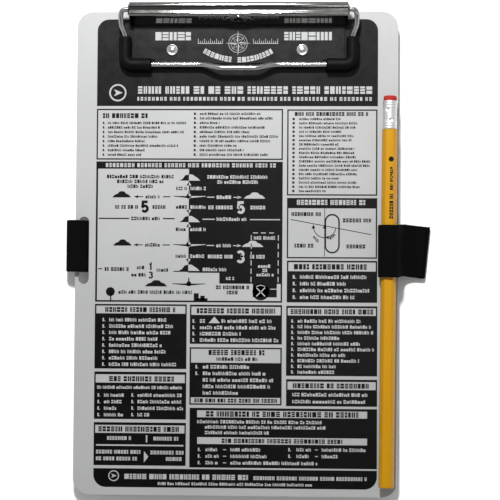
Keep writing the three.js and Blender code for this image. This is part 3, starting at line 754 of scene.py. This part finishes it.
def print_lists(ink, light):
    """The dark panels with bare heading strips."""
    low, mid = LOWER_SPLIT
    right, col = SPLIT
    ink.headed(25.1, -24.4, 69.3, -3.9, -4.7, -9.1, (46.8, -8.2, 36.5, 2.6))
    light.numbered(28, 31.5, -11.9, 3.3, 1.75, (64, 54.5, 65.4, 58.2), 2)
    ink.headed(LEFT, -57.4, low, -25.7, -26.5, -30.3, (-46.7, -29.6, 35, 2.4))
    light.numbered(-65.5, -62.2, -33.4, 3.12, 1.7, (-34, -30.1, -31.6, -38.4, -36.1, -34.3, -38, -28.6))
    ink.headed(LEFT, -82.1, low, -58.9, -60.2, -64.3, (-46, -63.6, 32, 2.5))
    light.row(-67.9, -67.3, -26.1, 1.5, gap=0.12)
    light.numbered(-67.6, -64.4, -70.4, 3.2, 1.65, (-54.6, -54.4, -58.4, -54.6))
    light.numbered(-50.9, -47.9, -70.3, 3.2, 1.65, (-26.2, -26.4, -25.5, -41.8))
    ink.headed(LEFT, -104.7, low, -83.7, -85.0, -88.9, (-46.8, -88.2, 40.5, 2.5))
    light.blocks((-43.6, -93.4, -42.9, -89.9), (-68.1, -95.2, -25.1, -94.5))
    light.rows(1.8, (-62.7, -92.3, -50.8), (-39.9, -92.4, -27.7))
    light.rows(1.8, (-68.1, -99, -45.4), (-68.1, -102.3, -47.9), (-41.3, -99.2, -25.1), (-33.7, -102.3, -26))
    light.shape([(-44.5, -103.2), (-42.3, -100.4), (-44.5, -97.6)])
    ink.headed(mid, -45.0, right, -25.8, -26.7, -30.8, (0.2, -30.0, 38.5, 2.5))
    light.numbered(-21.1, -17.5, -33.8, 3.1, 1.75, (-14.8, 19.6, 2.6, 21.4))
    light.shape([(-13.2, -34.8), (-7.6, -34.8), (-10.4, -31.6)])
    light.row(-6.9, -34.6, 18.4, 1.75)
    ink.headed(mid, -74.8, right, -46.7, -47.4, -54.2, (0.6, -50.4, 27.4, 2.5))
    ink.centred(0.8, -53.2, 20, 1.7)
    light.numbered(-19.5, -15.9, -56.2, 3.2, 1.75, (7.4, 15.4))
    light.rows(1.75, (-15.9, -63.5, 19.6), (-15.9, -66.65, 17.8), (-15.9, -69.8, 2.6))
    light.block(mid + 0.7, -74.1, right - 0.7, -71.2)
    ink.headed(col, -60.3, 69.4, -26.1, -27.1, -30.8, (47.2, -30.1, 40.4, 2.4))
    ends = (61.2, 66.3, 67.6, 50.8, 60.9, 67.8, 53.9, 60.6, 49.3, 49.5)
    light.numbered(27.4, 30.5, -33.5, 2.77, 1.6, ends)
    ink.headed(25.0, -75.1, 69.4, -62.0, -63.1, -67.0, (46.8, -66.3, 37, 2.4))
    light.rows(1.7, (28, -70.3, 64.8), (28, -73.7, 64.8))


def print_foot(ink, light):
    def dashed(dash, text_x, first_y, ends):
        for k, end in enumerate(ends):
            y = first_y - 3.2 * k
            light.block(dash[0], y + 0.6, dash[1], y + 1.0)
            light.row(text_x, y, end, 1.65)

    ink.block(-22.2, -105.4, RIGHT, -76.3)
    light.blocks((-18.5, -80.9, 64.6, -77.5), (-18.4, -93.9, 64.6, -90.6))
    light.rows(1.6, (-18.5, -83.8, 42.9), (-14.7, -86.4, 44.9), (-14.7, -89.1, 16.6))
    light.numbered(-18, -14.3, -96.6, 3.2, 1.65, (-8.6, -7.6, -7.8))
    dashed((-5.7, -4.1), -2.1, -97.4, (13.2, 16.8, 40.8))
    light.numbered(26.2, 30.2, -96.3, 3.2, 1.65, (37.6, 36.2))
    dashed((39.2, 40.7), 42.5, -97.1, (64.3, 50.8))
    ink.rounded_block(LEFT, -115.3, RIGHT, -106.2, 6.0, ("sw", "se"))
    light.symbol(-59.3, -109.8, 2.4)
    light.row(-54, -111.3, 6.6, 2.5, width=0.75, gap=0.16)
    light.row(9.2, -111.2, 64.4, 1.8)
    light.row(-37.6, -114.1, 37.8, 1.4)


def print_strips(dark):
    """Dark marks on the light strips that lie on dark panels."""
    dark.centred(0.3, -73.6, 40.6, 1.9)
    dark.row(-14.2, -80.5, 60.4, 2.6)
    dark.row(-6.4, -93.3, 52.6, 2.1)


def print_board():
    dice = random.Random(7)
    ink = Print(BOARD_TOP, 0.001, 0.04, dice)
    light = Print(BOARD_TOP, 0.041, 0.06, dice)
    dark = Print(BOARD_TOP, 0.061, 0.08, dice)
    print_header(ink, light)
    print_flight_plan(ink)
    print_suffixes(ink)
    print_diagram(ink, light)
    print_holding(ink, light)
    print_lists(ink, light)
    print_foot(ink, light)
    print_strips(dark)
    ink.made("print_ink", INK, "print_black")
    light.made("print_light_marks", LIGHT_INK, "print_white")
    dark.made("print_dark_marks", INK, "print_black")


def print_clip():
    """A compass rose, a row of ticks, two heading words and a curved caption, on the clip's black base."""
    light = Print(BOARD_TOP + BASE_THICK, 0.005, 0.03, random.Random(11))
    for x, end in ((-40.5, -22.9), (23.2, 47.3)):
        light.row(x, 104.7, end, 4.1, width=0.74, gap=0.12, words=False)
    cx, cy = 0.4, 103.2
    light.curve((cx, cy), 4.6, 0, 360, 0.2, 48)
    light.curve((cx, cy), 3.5, 0, 360, 0.14, 40)
    for k in range(8):
        a, long_point = math.radians(45 * k), k % 2 == 0
        left, tip, right = ((cx + reach * math.cos(a + b), cy + reach * math.sin(a + b))
                            for reach, b in ((1.3, 0.5), (6.1 if long_point else 3.9, 0), (1.3, -0.5)))
        light.line([left, tip, right], 0.16)
        if long_point:
            light.shape([(cx, cy), tip, left])
    for side in (-1, 1):
        x = cx + side * 7.6
        light.block(min(x, x + side * 12.2), 103.0, max(x, x + side * 12.2), 103.25)
        for k in range(13):
            tall = 2.2 if k % 3 == 0 else 1.2
            tick = x + side * k
            light.block(tick - 0.11, 103.25, tick + 0.11, 103.25 + tall)
    curve_x, curve_y, radius = 0.6, 128.1, 34.4

    def along(u, v):
        return (curve_x + (radius - v) * math.sin(u / radius), curve_y - (radius - v) * math.cos(u / radius))

    for u, end in ((-18.4, -2.4), (-0.4, 18.6)):
        light.row(u, 0, end, 2.6, width=0.72, gap=0.16, place=along, words=False)
    light.made("print_clip_marks", LIGHT_INK, "print_white")


# ---- clip ----

PIN = middle("hinge_pin")
CLIP_X = PIN.x
WIRE = 1.3
BAIL_X = 56.0
BAR_Y = 92.3
BAR_Z = BOARD_TOP + 3.5
HUMP_Y = 90.2
HUMP_Z = BAR_Z + 3.1
CORNER = 3.6


def bail_half():
    """The bail's right half, from the middle of its bar to the end in the lever's cheek."""
    x, y, z = BAIL_X, BAR_Y, BAR_Z
    hole = (PIN.y + 3.2, PIN.z + 5.0)
    ease = 0.4477 * CORNER
    return [
        [(0, HUMP_Y, HUMP_Z), (7.5, HUMP_Y, HUMP_Z)],
        [(7.5, HUMP_Y, HUMP_Z), (12, HUMP_Y, HUMP_Z), (15.5, y, z), (20, y, z)],
        [(20, y, z), (x - CORNER, y, z)],
        [(x - CORNER, y, z), (x - ease, y, z), (x, y + ease, z), (x, y + CORNER, z)],
        [(x, y + CORNER, z), (x, 106, z)],
        [(x, 106, z), (x + 0.2, 108.5, z), (x + 1.9, 110, z + 1.6), (x + 1.9, 113, z + 2.6)],
        [(x + 1.9, 113, z + 2.6), (x + 1.9, 116.2, z + 3.7), (x + 2.6, *hole), (55.4, *hole)],
        [(55.4, *hole), (51.2, *hole)],
    ]


def on_side(parts, side):
    return [[(CLIP_X + side * x, y, z) for x, y, z in part] for part in parts]


def sleeve_radius(s, whole):
    """A rubber sleeve: rounded ends, and a faint swelling behind each end."""
    near = min(s, whole - s)
    if near < 0.9:
        return 3.2 * (0.8 + 0.2 * math.sqrt(max(0.0, 1 - (1 - near / 0.9) ** 2)))
    return 3.2 - 0.06 * min(1, (near - 0.9) / 2)


def make_bail():
    half = bail_half()
    left, right = (bezier(on_side(half, side)) for side in (-1, 1))
    mesh = tube(spaced(left[::-1] + right[1:], 0.7), rounded(WIRE, 0.5), 24)
    piece("bail", mesh, "clip", "chrome_plate", CHROME, node="bail_wire")
    bar = [(43, BAR_Y, BAR_Z), (BAIL_X - CORNER, BAR_Y, BAR_Z)]
    for side, name in ((-1, "left"), (1, "right")):
        path = spaced(bezier(on_side([bar, half[3], half[4]], side)), 0.45)
        piece(f"sleeve_{name}", tube(path, sleeve_radius, 32), "clip", "black_rubber", RUBBER, sharp=60,
              node=f"grip_sleeve_{name}")


def make_lever():
    """The lever, with pressed rings round the hole in its leaning face."""
    softened("clip_lever", "lever", "clip", "chrome_plate", LEVER_CHROME_PAINTED_DARKER, 0.22)
    lean = math.radians(67.5)
    along = Vector((0, math.cos(lean), math.sin(lean)))
    front = Vector((0, -along.z, along.y))
    foot = PIN + front * 3.28 + along * 1.4
    for radius, rise, thick, name in ((7.0, 5.0, 0.4, "lever_ring"), (3.7, 3.75, 0.28, "lever_hole_rim")):
        path = [foot + Vector((x, 0, 0)) + along * up for x, up in arc((0, 0), (radius, rise), 0, 180, 40)]
        piece(name, tube(path, rounded(thick, 0.8), 12), "clip", "chrome_plate", LEVER_CHROME_PAINTED_DARKER)


def make_pin():
    low, high = box("hinge_pin")
    half = (high.x - low.x) / 2
    end = [(0, -half), (1.2, -half), (1.6, -half + 0.3), (1.6, -half + 0.7), (1.2, -half + 0.85)]
    mesh = turned(end + [(r, -h) for r, h in reversed(end)], lambda u, v, h: PIN + Vector((h, u, v)), 32)
    piece("pin", mesh, "board", "spring_steel", NICKEL, sharp=30, node="hinge_pin")


def make_rivets():
    """Hollow rivets: heights of the head are above its seat, and those of the foot above the rivet's end."""
    head = [(0, 0.95), (0.7, 0.92), (1.2, 0.78), (1.5, 0.5), (1.68, 0.34), (1.9, 0.36), (2.15, 0.62),
            (2.4, 0.74), (2.65, 0.68), (2.84, 0.45), (2.88, 0.1), (2.8, 0), (1.55, 0)]
    foot = [(1.55, 0.6), (2.35, 0.5), (2.5, 0.3), (2.2, 0.1), (1.7, 0), (1.2, 0.08), (0.9, 0.25)]
    for name in ("rivet_left", "rivet_right"):
        low, high = box(name)
        seat = high.z - 0.95
        profile = [(r, seat + h) for r, h in head] + [(r, low.z + h) for r, h in foot]
        profile += [(0.8, seat - 0.6), (0, seat - 0.45)]
        centre = Vector(((low.x + high.x) / 2, (low.y + high.y) / 2, 0))
        mesh = turned(profile, lambda u, v, h: centre + Vector((u, v, h)))
        piece(name + "_turned", mesh, "board", "chrome_plate", NICKEL, node=name)


def make_springs():
    """Two torsion springs round the pin. The leg under the lever's top turns with the lever."""
    coil, wire, turns, pitch = 1.7, 0.35, 7, 1.05
    base_leg, lever_leg = 3.4, 7.0
    start, end = math.radians(-102), math.radians(-13)
    whole = 2 * math.pi * turns + end - start
    for side, name in ((-1, "left"), (1, "right")):
        def on_coil(turn, past=0.0):
            """A point on the coil, or so far past it, straight on along the wire."""
            a = start + turn
            return PIN + Vector((side * (14 + turn / (2 * math.pi) * pitch),
                                 coil * math.cos(a) - past * math.sin(a),
                                 coil * math.sin(a) + past * math.cos(a)))

        path = [on_coil(0, base_leg * (k / 4 - 1)) for k in range(4)]
        path += [on_coil(whole * k / 180) for k in range(181)]
        path += [on_coil(whole, lever_leg * k / 8) for k in range(1, 9)]
        made = piece(f"spring_{name}", tube(path, wire, 12), None, "spring_steel", STEEL, sharp=60,
                     node=f"torsion_spring_{name}")
        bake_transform(made)


# ---- strap ----

WEB_Y, WEB_SLANT, WEB_WIDTH = 1.7, -0.0141, 25.4
RUN_Z, PILE_Z, HOOK_Z, TAIL_Z = -0.8, -2.0, -3.1, -4.3
FOLD_X, FOLD_Z = 94.0, TAIL_Z + 1
RIB, STITCH = 1.6, 2.6  # spacing along the strap


def web_y(x):
    """The middle line of the webbing, which lies at a slight slant."""
    return WEB_Y + WEB_SLANT * x


def ribbon(route, width, thick, ribs, start):
    """Webbing along a route of (x, z), with rounded selvedges and ribs, askew towards its right-hand fold.

    It gives the mesh, whose flat coordinates are millimetres from start, and the webbing's length.
    """
    across = (-1, -0.985, -0.94, -0.85, -0.5, 0, 0.5, 0.85, 0.94, 0.985, 1)
    route = [Vector(p) for p in route]
    points, flat, s = [], [], start
    for i, p in enumerate(route):
        if i:
            s += (p - route[i - 1]).length
        ahead = (route[min(i + 1, len(route) - 1)] - route[max(i - 1, 0)]).normalized()
        normal = Vector((-ahead.y, ahead.x))
        rib = 0.93 + 0.07 * math.cos(2 * math.pi * s / RIB) if ribs else 1.0
        for face in (1, -1):
            for v in across if face > 0 else reversed(across):
                edge = 0.55 + 0.45 * math.sqrt(max(0.0, 1 - max(0.0, (abs(v) - 0.9) / 0.1) ** 2))
                q = p + normal * (face * thick / 2 * edge * rib)
                askew = min(1.0, max(0.0, (q.x - 80) / 14))
                drift = 1.2 * min(1.0, max(0.0, (q.x - 78.7) / 3.9)) - 1.2 * askew
                x = q.x + 0.1 * (v - 1) * width / 2 * askew
                points.append((x, web_y(q.x) + v * width / 2 + drift, q.y))
                flat.append((s, v * width / 2))
    mesh = mesh_of(points, skin(len(route), 2 * len(across)))
    layer = mesh.uv_layers.new(name="flat")
    for loop in mesh.loops:
        layer.data[loop.index].uv = flat[loop.vertex_index]
    return mesh, s - start


def strap_route():
    left = [(-76, -2.1), (-80.6, -1.9), (-82.7, -0.7), (-83.3, 1.4), (-82.4, 3.5), (-79.6, 4.4), (-76.2, 3.9),
            (-74.2, 2.5), (-73.5, 0.9), (-73.45, 0.1), (-73.1, -0.55), (-72.2, RUN_Z)]
    right = [(72.2, RUN_Z), (73.1, -0.55), (73.45, 0.1), (73.45, 1.4), (72.75, 2.42), (71.5, 3.1),
             (70.3, 4.6), (69.9, 6.6), (70.4, 9.0), (72.0, 10.8), (74.2, 11.35), (76.7, 11.2), (78.7, 9.7),
             (80.1, 6.8), (81.0, 3.6), (82.6, 0.8), (85.4, -1.0), (89.5, FOLD_Z + 1.15),
             (FOLD_X - 0.3, FOLD_Z + 1)]
    return [Vector((-50, -2.1)), *through(left), *through(right)]


def tape(name, route, body, node, start=0.0, width=WEB_WIDTH, thick=1.0, slot="black_webbing", look=WEBBING):
    """A piece of webbing, or of the tape sewn to it, along a route. It gives the piece and its length."""
    mesh, length = ribbon(route, width, thick, slot == "black_webbing", start)
    return piece(name, mesh, body, slot, look, sharp=60, node=node), length


def patch_outline(span, inset):
    x0, x1, y = span[0] + inset, span[1] - inset, 11.5 - inset
    return [(x0, -y), (x1, -y), (x1, y), (x0, y), (x0, -y)]


def stitches(name, corners, body, z):
    """Short stitches along a line of corners, whose y is measured from the middle of the webbing."""
    points, faces = [], []
    rings, sides = 5, 6
    for a, b in zip(corners, corners[1:]):
        a, b = Vector(a), Vector(b)
        count = max(1, round((b - a).length / STITCH))
        for k in range(count):
            p, q = a.lerp(b, (k + 0.18) / count), a.lerp(b, (k + 0.82) / count)
            ahead = (q - p).normalized()
            side = Vector((-ahead.y, ahead.x))
            faces += skin(rings, sides, len(points))
            for r in range(rings):
                t = r / (rings - 1)
                size = 0.1 + 0.12 * math.sin(math.pi * t)
                for wide, tall in arc((0, 0), (size, 0.6 * size), 0, 360, sides)[:-1]:
                    spot = p.lerp(q, t) + side * wide
                    points.append((spot.x, web_y(spot.x) + spot.y, z + tall))
    return piece(name, mesh_of(points, faces), body, "stitch_thread", THREAD, sharp=70)


def make_hooks(span):
    """Rows of small hooks that lean along the tape."""
    points, faces = [], []
    x = span[0] + 1.5
    while x < span[1] - 1:
        for k in range(15):
            y = web_y(x) - 10.2 + k * 1.457
            faces += skin(3, 4, len(points))
            for rise, r, lean in ((0.05, 0.22, 0), (0.28, 0.15, 0.05), (0.4, 0.2, 0.2)):
                for u, v in ((-r, -r), (r, -r), (r, r), (-r, r)):
                    points.append((x + u + lean, y + v, HOOK_Z + rise))
        x += 1.5
    piece("hook_rows", mesh_of(points, faces), "tail", "hook_tape", HOOKS)


def make_strap():
    band, band_length = tape("strap_run", spaced(strap_route(), 0.4), "board", "strap_band")
    bend = arc((FOLD_X, FOLD_Z), 1, 90, -90, 12)
    fold, _ = tape("strap_turn", bend, None, "strap_fold", band_length)
    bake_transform(fold)
    line = spaced([(FOLD_X, TAIL_Z), (-60, TAIL_Z)], 0.4)
    tail, tail_length = tape("strap_end", line, "tail", "strap_tail", band_length + 3)

    pile_span, hook_span = (-44, 48), (-52, -4)
    line = spaced([(x, PILE_Z) for x in pile_span], 2)
    pile, _ = tape("pile_tape", line, "board", "pile_patch", 0, 23, 0.8, "pile_tape", PILE)
    line = spaced([(x, HOOK_Z - 0.15) for x in hook_span], 2)
    hooks, _ = tape("hook_backing", line, "tail", "hook_patch", 0, 23, 0.5, "hook_tape", HOOKS)
    make_hooks(hook_span)
    below_tail, below_loop = TAIL_Z - 0.44, -2.56
    loop = [(-52, -11), (-52, 11), (-66, 11), (-66, -11), (-52, -11), (-66, 11)]
    on_band = [
        stitches("pile_stitching", patch_outline(pile_span, 1.2), "board", PILE_Z - 0.4),
        stitches("loop_stitching", loop, "board", below_loop),
        stitches("loop_stitching_cross", [(-52, 11), (-66, -11)], "board", below_loop),
    ]
    on_tail = [
        stitches("hook_stitching", patch_outline(hook_span, 0.8), "tail", HOOK_Z + 0.12),
        stitches("tail_stitching", patch_outline(hook_span, 0.8), "tail", below_tail),
        stitches("tail_hem_stitching", [(-57.5, -11), (-57.5, 11)], "tail", below_tail),
    ]


# ---- pencil ----

FOOT, WOOD_TOP = -113.9, 60.1  # up the board from its middle
FERRULE_FOOT, FERRULE_TOP = WOOD_TOP + 0.15, WOOD_TOP + 13.95
FLAT = 3.4  # from the pencil's axis to its flats
SLANT = math.radians(-0.45)
AHEAD = Vector((-math.sin(SLANT), math.cos(SLANT), 0))
SIDE = Vector((AHEAD.y, -AHEAD.x, 0))
PENCIL = middle("pencil_lead")
PENCIL.z = box("pencil_body")[1].z - FLAT


def on_pencil(across, up, along):
    """A point by the pencil's axis, where along is measured up the board from its middle."""
    return PENCIL + AHEAD * (along - PENCIL.y) + SIDE * across + Vector((0, 0, up))


def hexagon(scale):
    """A hexagon whose corners are rounded by four points each."""
    corners = [Vector(p) for p in arc((0, 0), 2 * FLAT / math.sqrt(3), 0, 300, 5)]
    ring = []
    for k, here in enumerate(corners):
        a, b = here.lerp(corners[k - 1], 0.14), here.lerp(corners[(k + 1) % 6], 0.14)
        for t in (0, 1 / 3, 2 / 3, 1):
            ring.append(a.lerp(here, t).lerp(here.lerp(b, t), t) * scale)
    return ring


def make_wood():
    stations = [(FOOT, 0.93), (FOOT + 0.12, 0.965), (FOOT + 0.4, 0.99)]
    stations += [(FOOT + 1 + k * 4.3, 1.0) for k in range(40)] + [(WOOD_TOP, 1.0)]
    sides = len(hexagon(1))
    points = [on_pencil(p.x, p.y, along) for along, scale in stations for p in hexagon(scale)]
    mesh = mesh_of(points, skin(len(stations), sides))
    piece("pencil_wood", mesh, "pencil", "yellow_lacquer", LACQUER, CEDAR, sharp=40, node="pencil_body")
    for face in mesh.polygons:
        if len(face.vertices) == sides:
            face.material_index = 1


def crimped(u, v, along):
    """The ferrule's surface, with three dents where it is pressed into the wood."""
    a, radius = math.atan2(v, u), math.hypot(u, v)
    for rise, angle in ((9.3, 112), (4.3, 84), (6.8, 20)):
        off = math.degrees(math.remainder(a - math.radians(angle), 2 * math.pi))
        near = (off / 16) ** 2 + ((along - FERRULE_FOOT - rise) / 0.9) ** 2
        if near < 1:
            radius -= 0.42 * (1 - near)
    return on_pencil(radius * math.cos(a), radius * math.sin(a), along)


def make_ferrule():
    """A thin tube with three ridges at each end."""
    profile = [(3.3, FERRULE_FOOT)]
    steps = 92
    for k in range(steps + 1):
        y = FERRULE_FOOT + (FERRULE_TOP - FERRULE_FOOT) * k / steps
        near = min(y - FERRULE_FOOT, FERRULE_TOP - y)
        ridge = 0.5 - 0.5 * math.cos(2 * math.pi * near / 1.2) if near < 3.6 else 0
        profile.append((3.46 + 0.14 * ridge, y))
    profile.append((3.3, FERRULE_TOP))
    mesh = turned(profile, crimped)
    piece("ferrule", mesh, "pencil", "ferrule_aluminium", FERRULE, node="pencil_ferrule")


def make_pencil():
    make_wood()
    make_ferrule()
    high, seat = box("pencil_eraser")[1].y, FERRULE_TOP
    profile = [(3.0, seat - 1), (3.25, seat - 0.8), (3.25, seat + 0.6), (3.22, high - 0.9),
               (3.14, high - 0.45), (2.92, high - 0.15), (2.5, high)]
    mesh = turned(profile, on_pencil)
    piece("eraser", mesh, "pencil", "eraser_rubber", ERASER, node="pencil_eraser")
    mesh = turned([(1.02, FOOT - 0.01), (1.02, FOOT + 0.3), (1.0, FOOT + 1), (1.0, WOOD_TOP + 6)], on_pencil)
    piece("lead", mesh, "pencil", "graphite", GRAPHITE, node="pencil_lead")

    def upright(u, v):
        return on_pencil(v, 0, u).xy

    foil = Print(PENCIL.z + FLAT, 0, 0.025, random.Random(5))
    foil.shape([upright(*p) for p in arc((45.4, 0.65), 1.25, 360, 0, 24)[1:]])
    foil.row(16.4, 0, 28.4, 1.8, place=upright)
    foil.row(30.3, 0.2, 41.6, 1.4, place=upright)
    foil.made("pencil_foil", INK, "print_black", "pencil")


# ---- build ----

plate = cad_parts["board_plate"].data
plate.materials.clear()
plate.materials.append(ALUMINIUM)
print_board()
print_clip()
softened("clip_base", "base", "board", "black_steel", ENAMEL, 0.15)
make_pin()
make_rivets()
make_lever()
make_bail()
make_springs()
make_strap()
make_pencil()


def add_floor():
    mesh = bpy.data.meshes.new("floor")
    bm = bmesh.new()
    just_below = Matrix.Translation((0, 0, -0.0002))
    bmesh.ops.create_grid(bm, x_segments=12, y_segments=12, size=1.5, matrix=just_below)
    bm.to_mesh(mesh)
    bm.free()
    floor = bpy.data.objects.new("floor", mesh)
    bpy.context.scene.collection.objects.link(floor)
    mesh.materials.append(mottled("floor_paper", 0.9, (6, 2), (0.93, 0.93, 0.93), (0.95, 0.95, 0.95),
                                  Specular_IOR_Level=0.1))


add_floor()
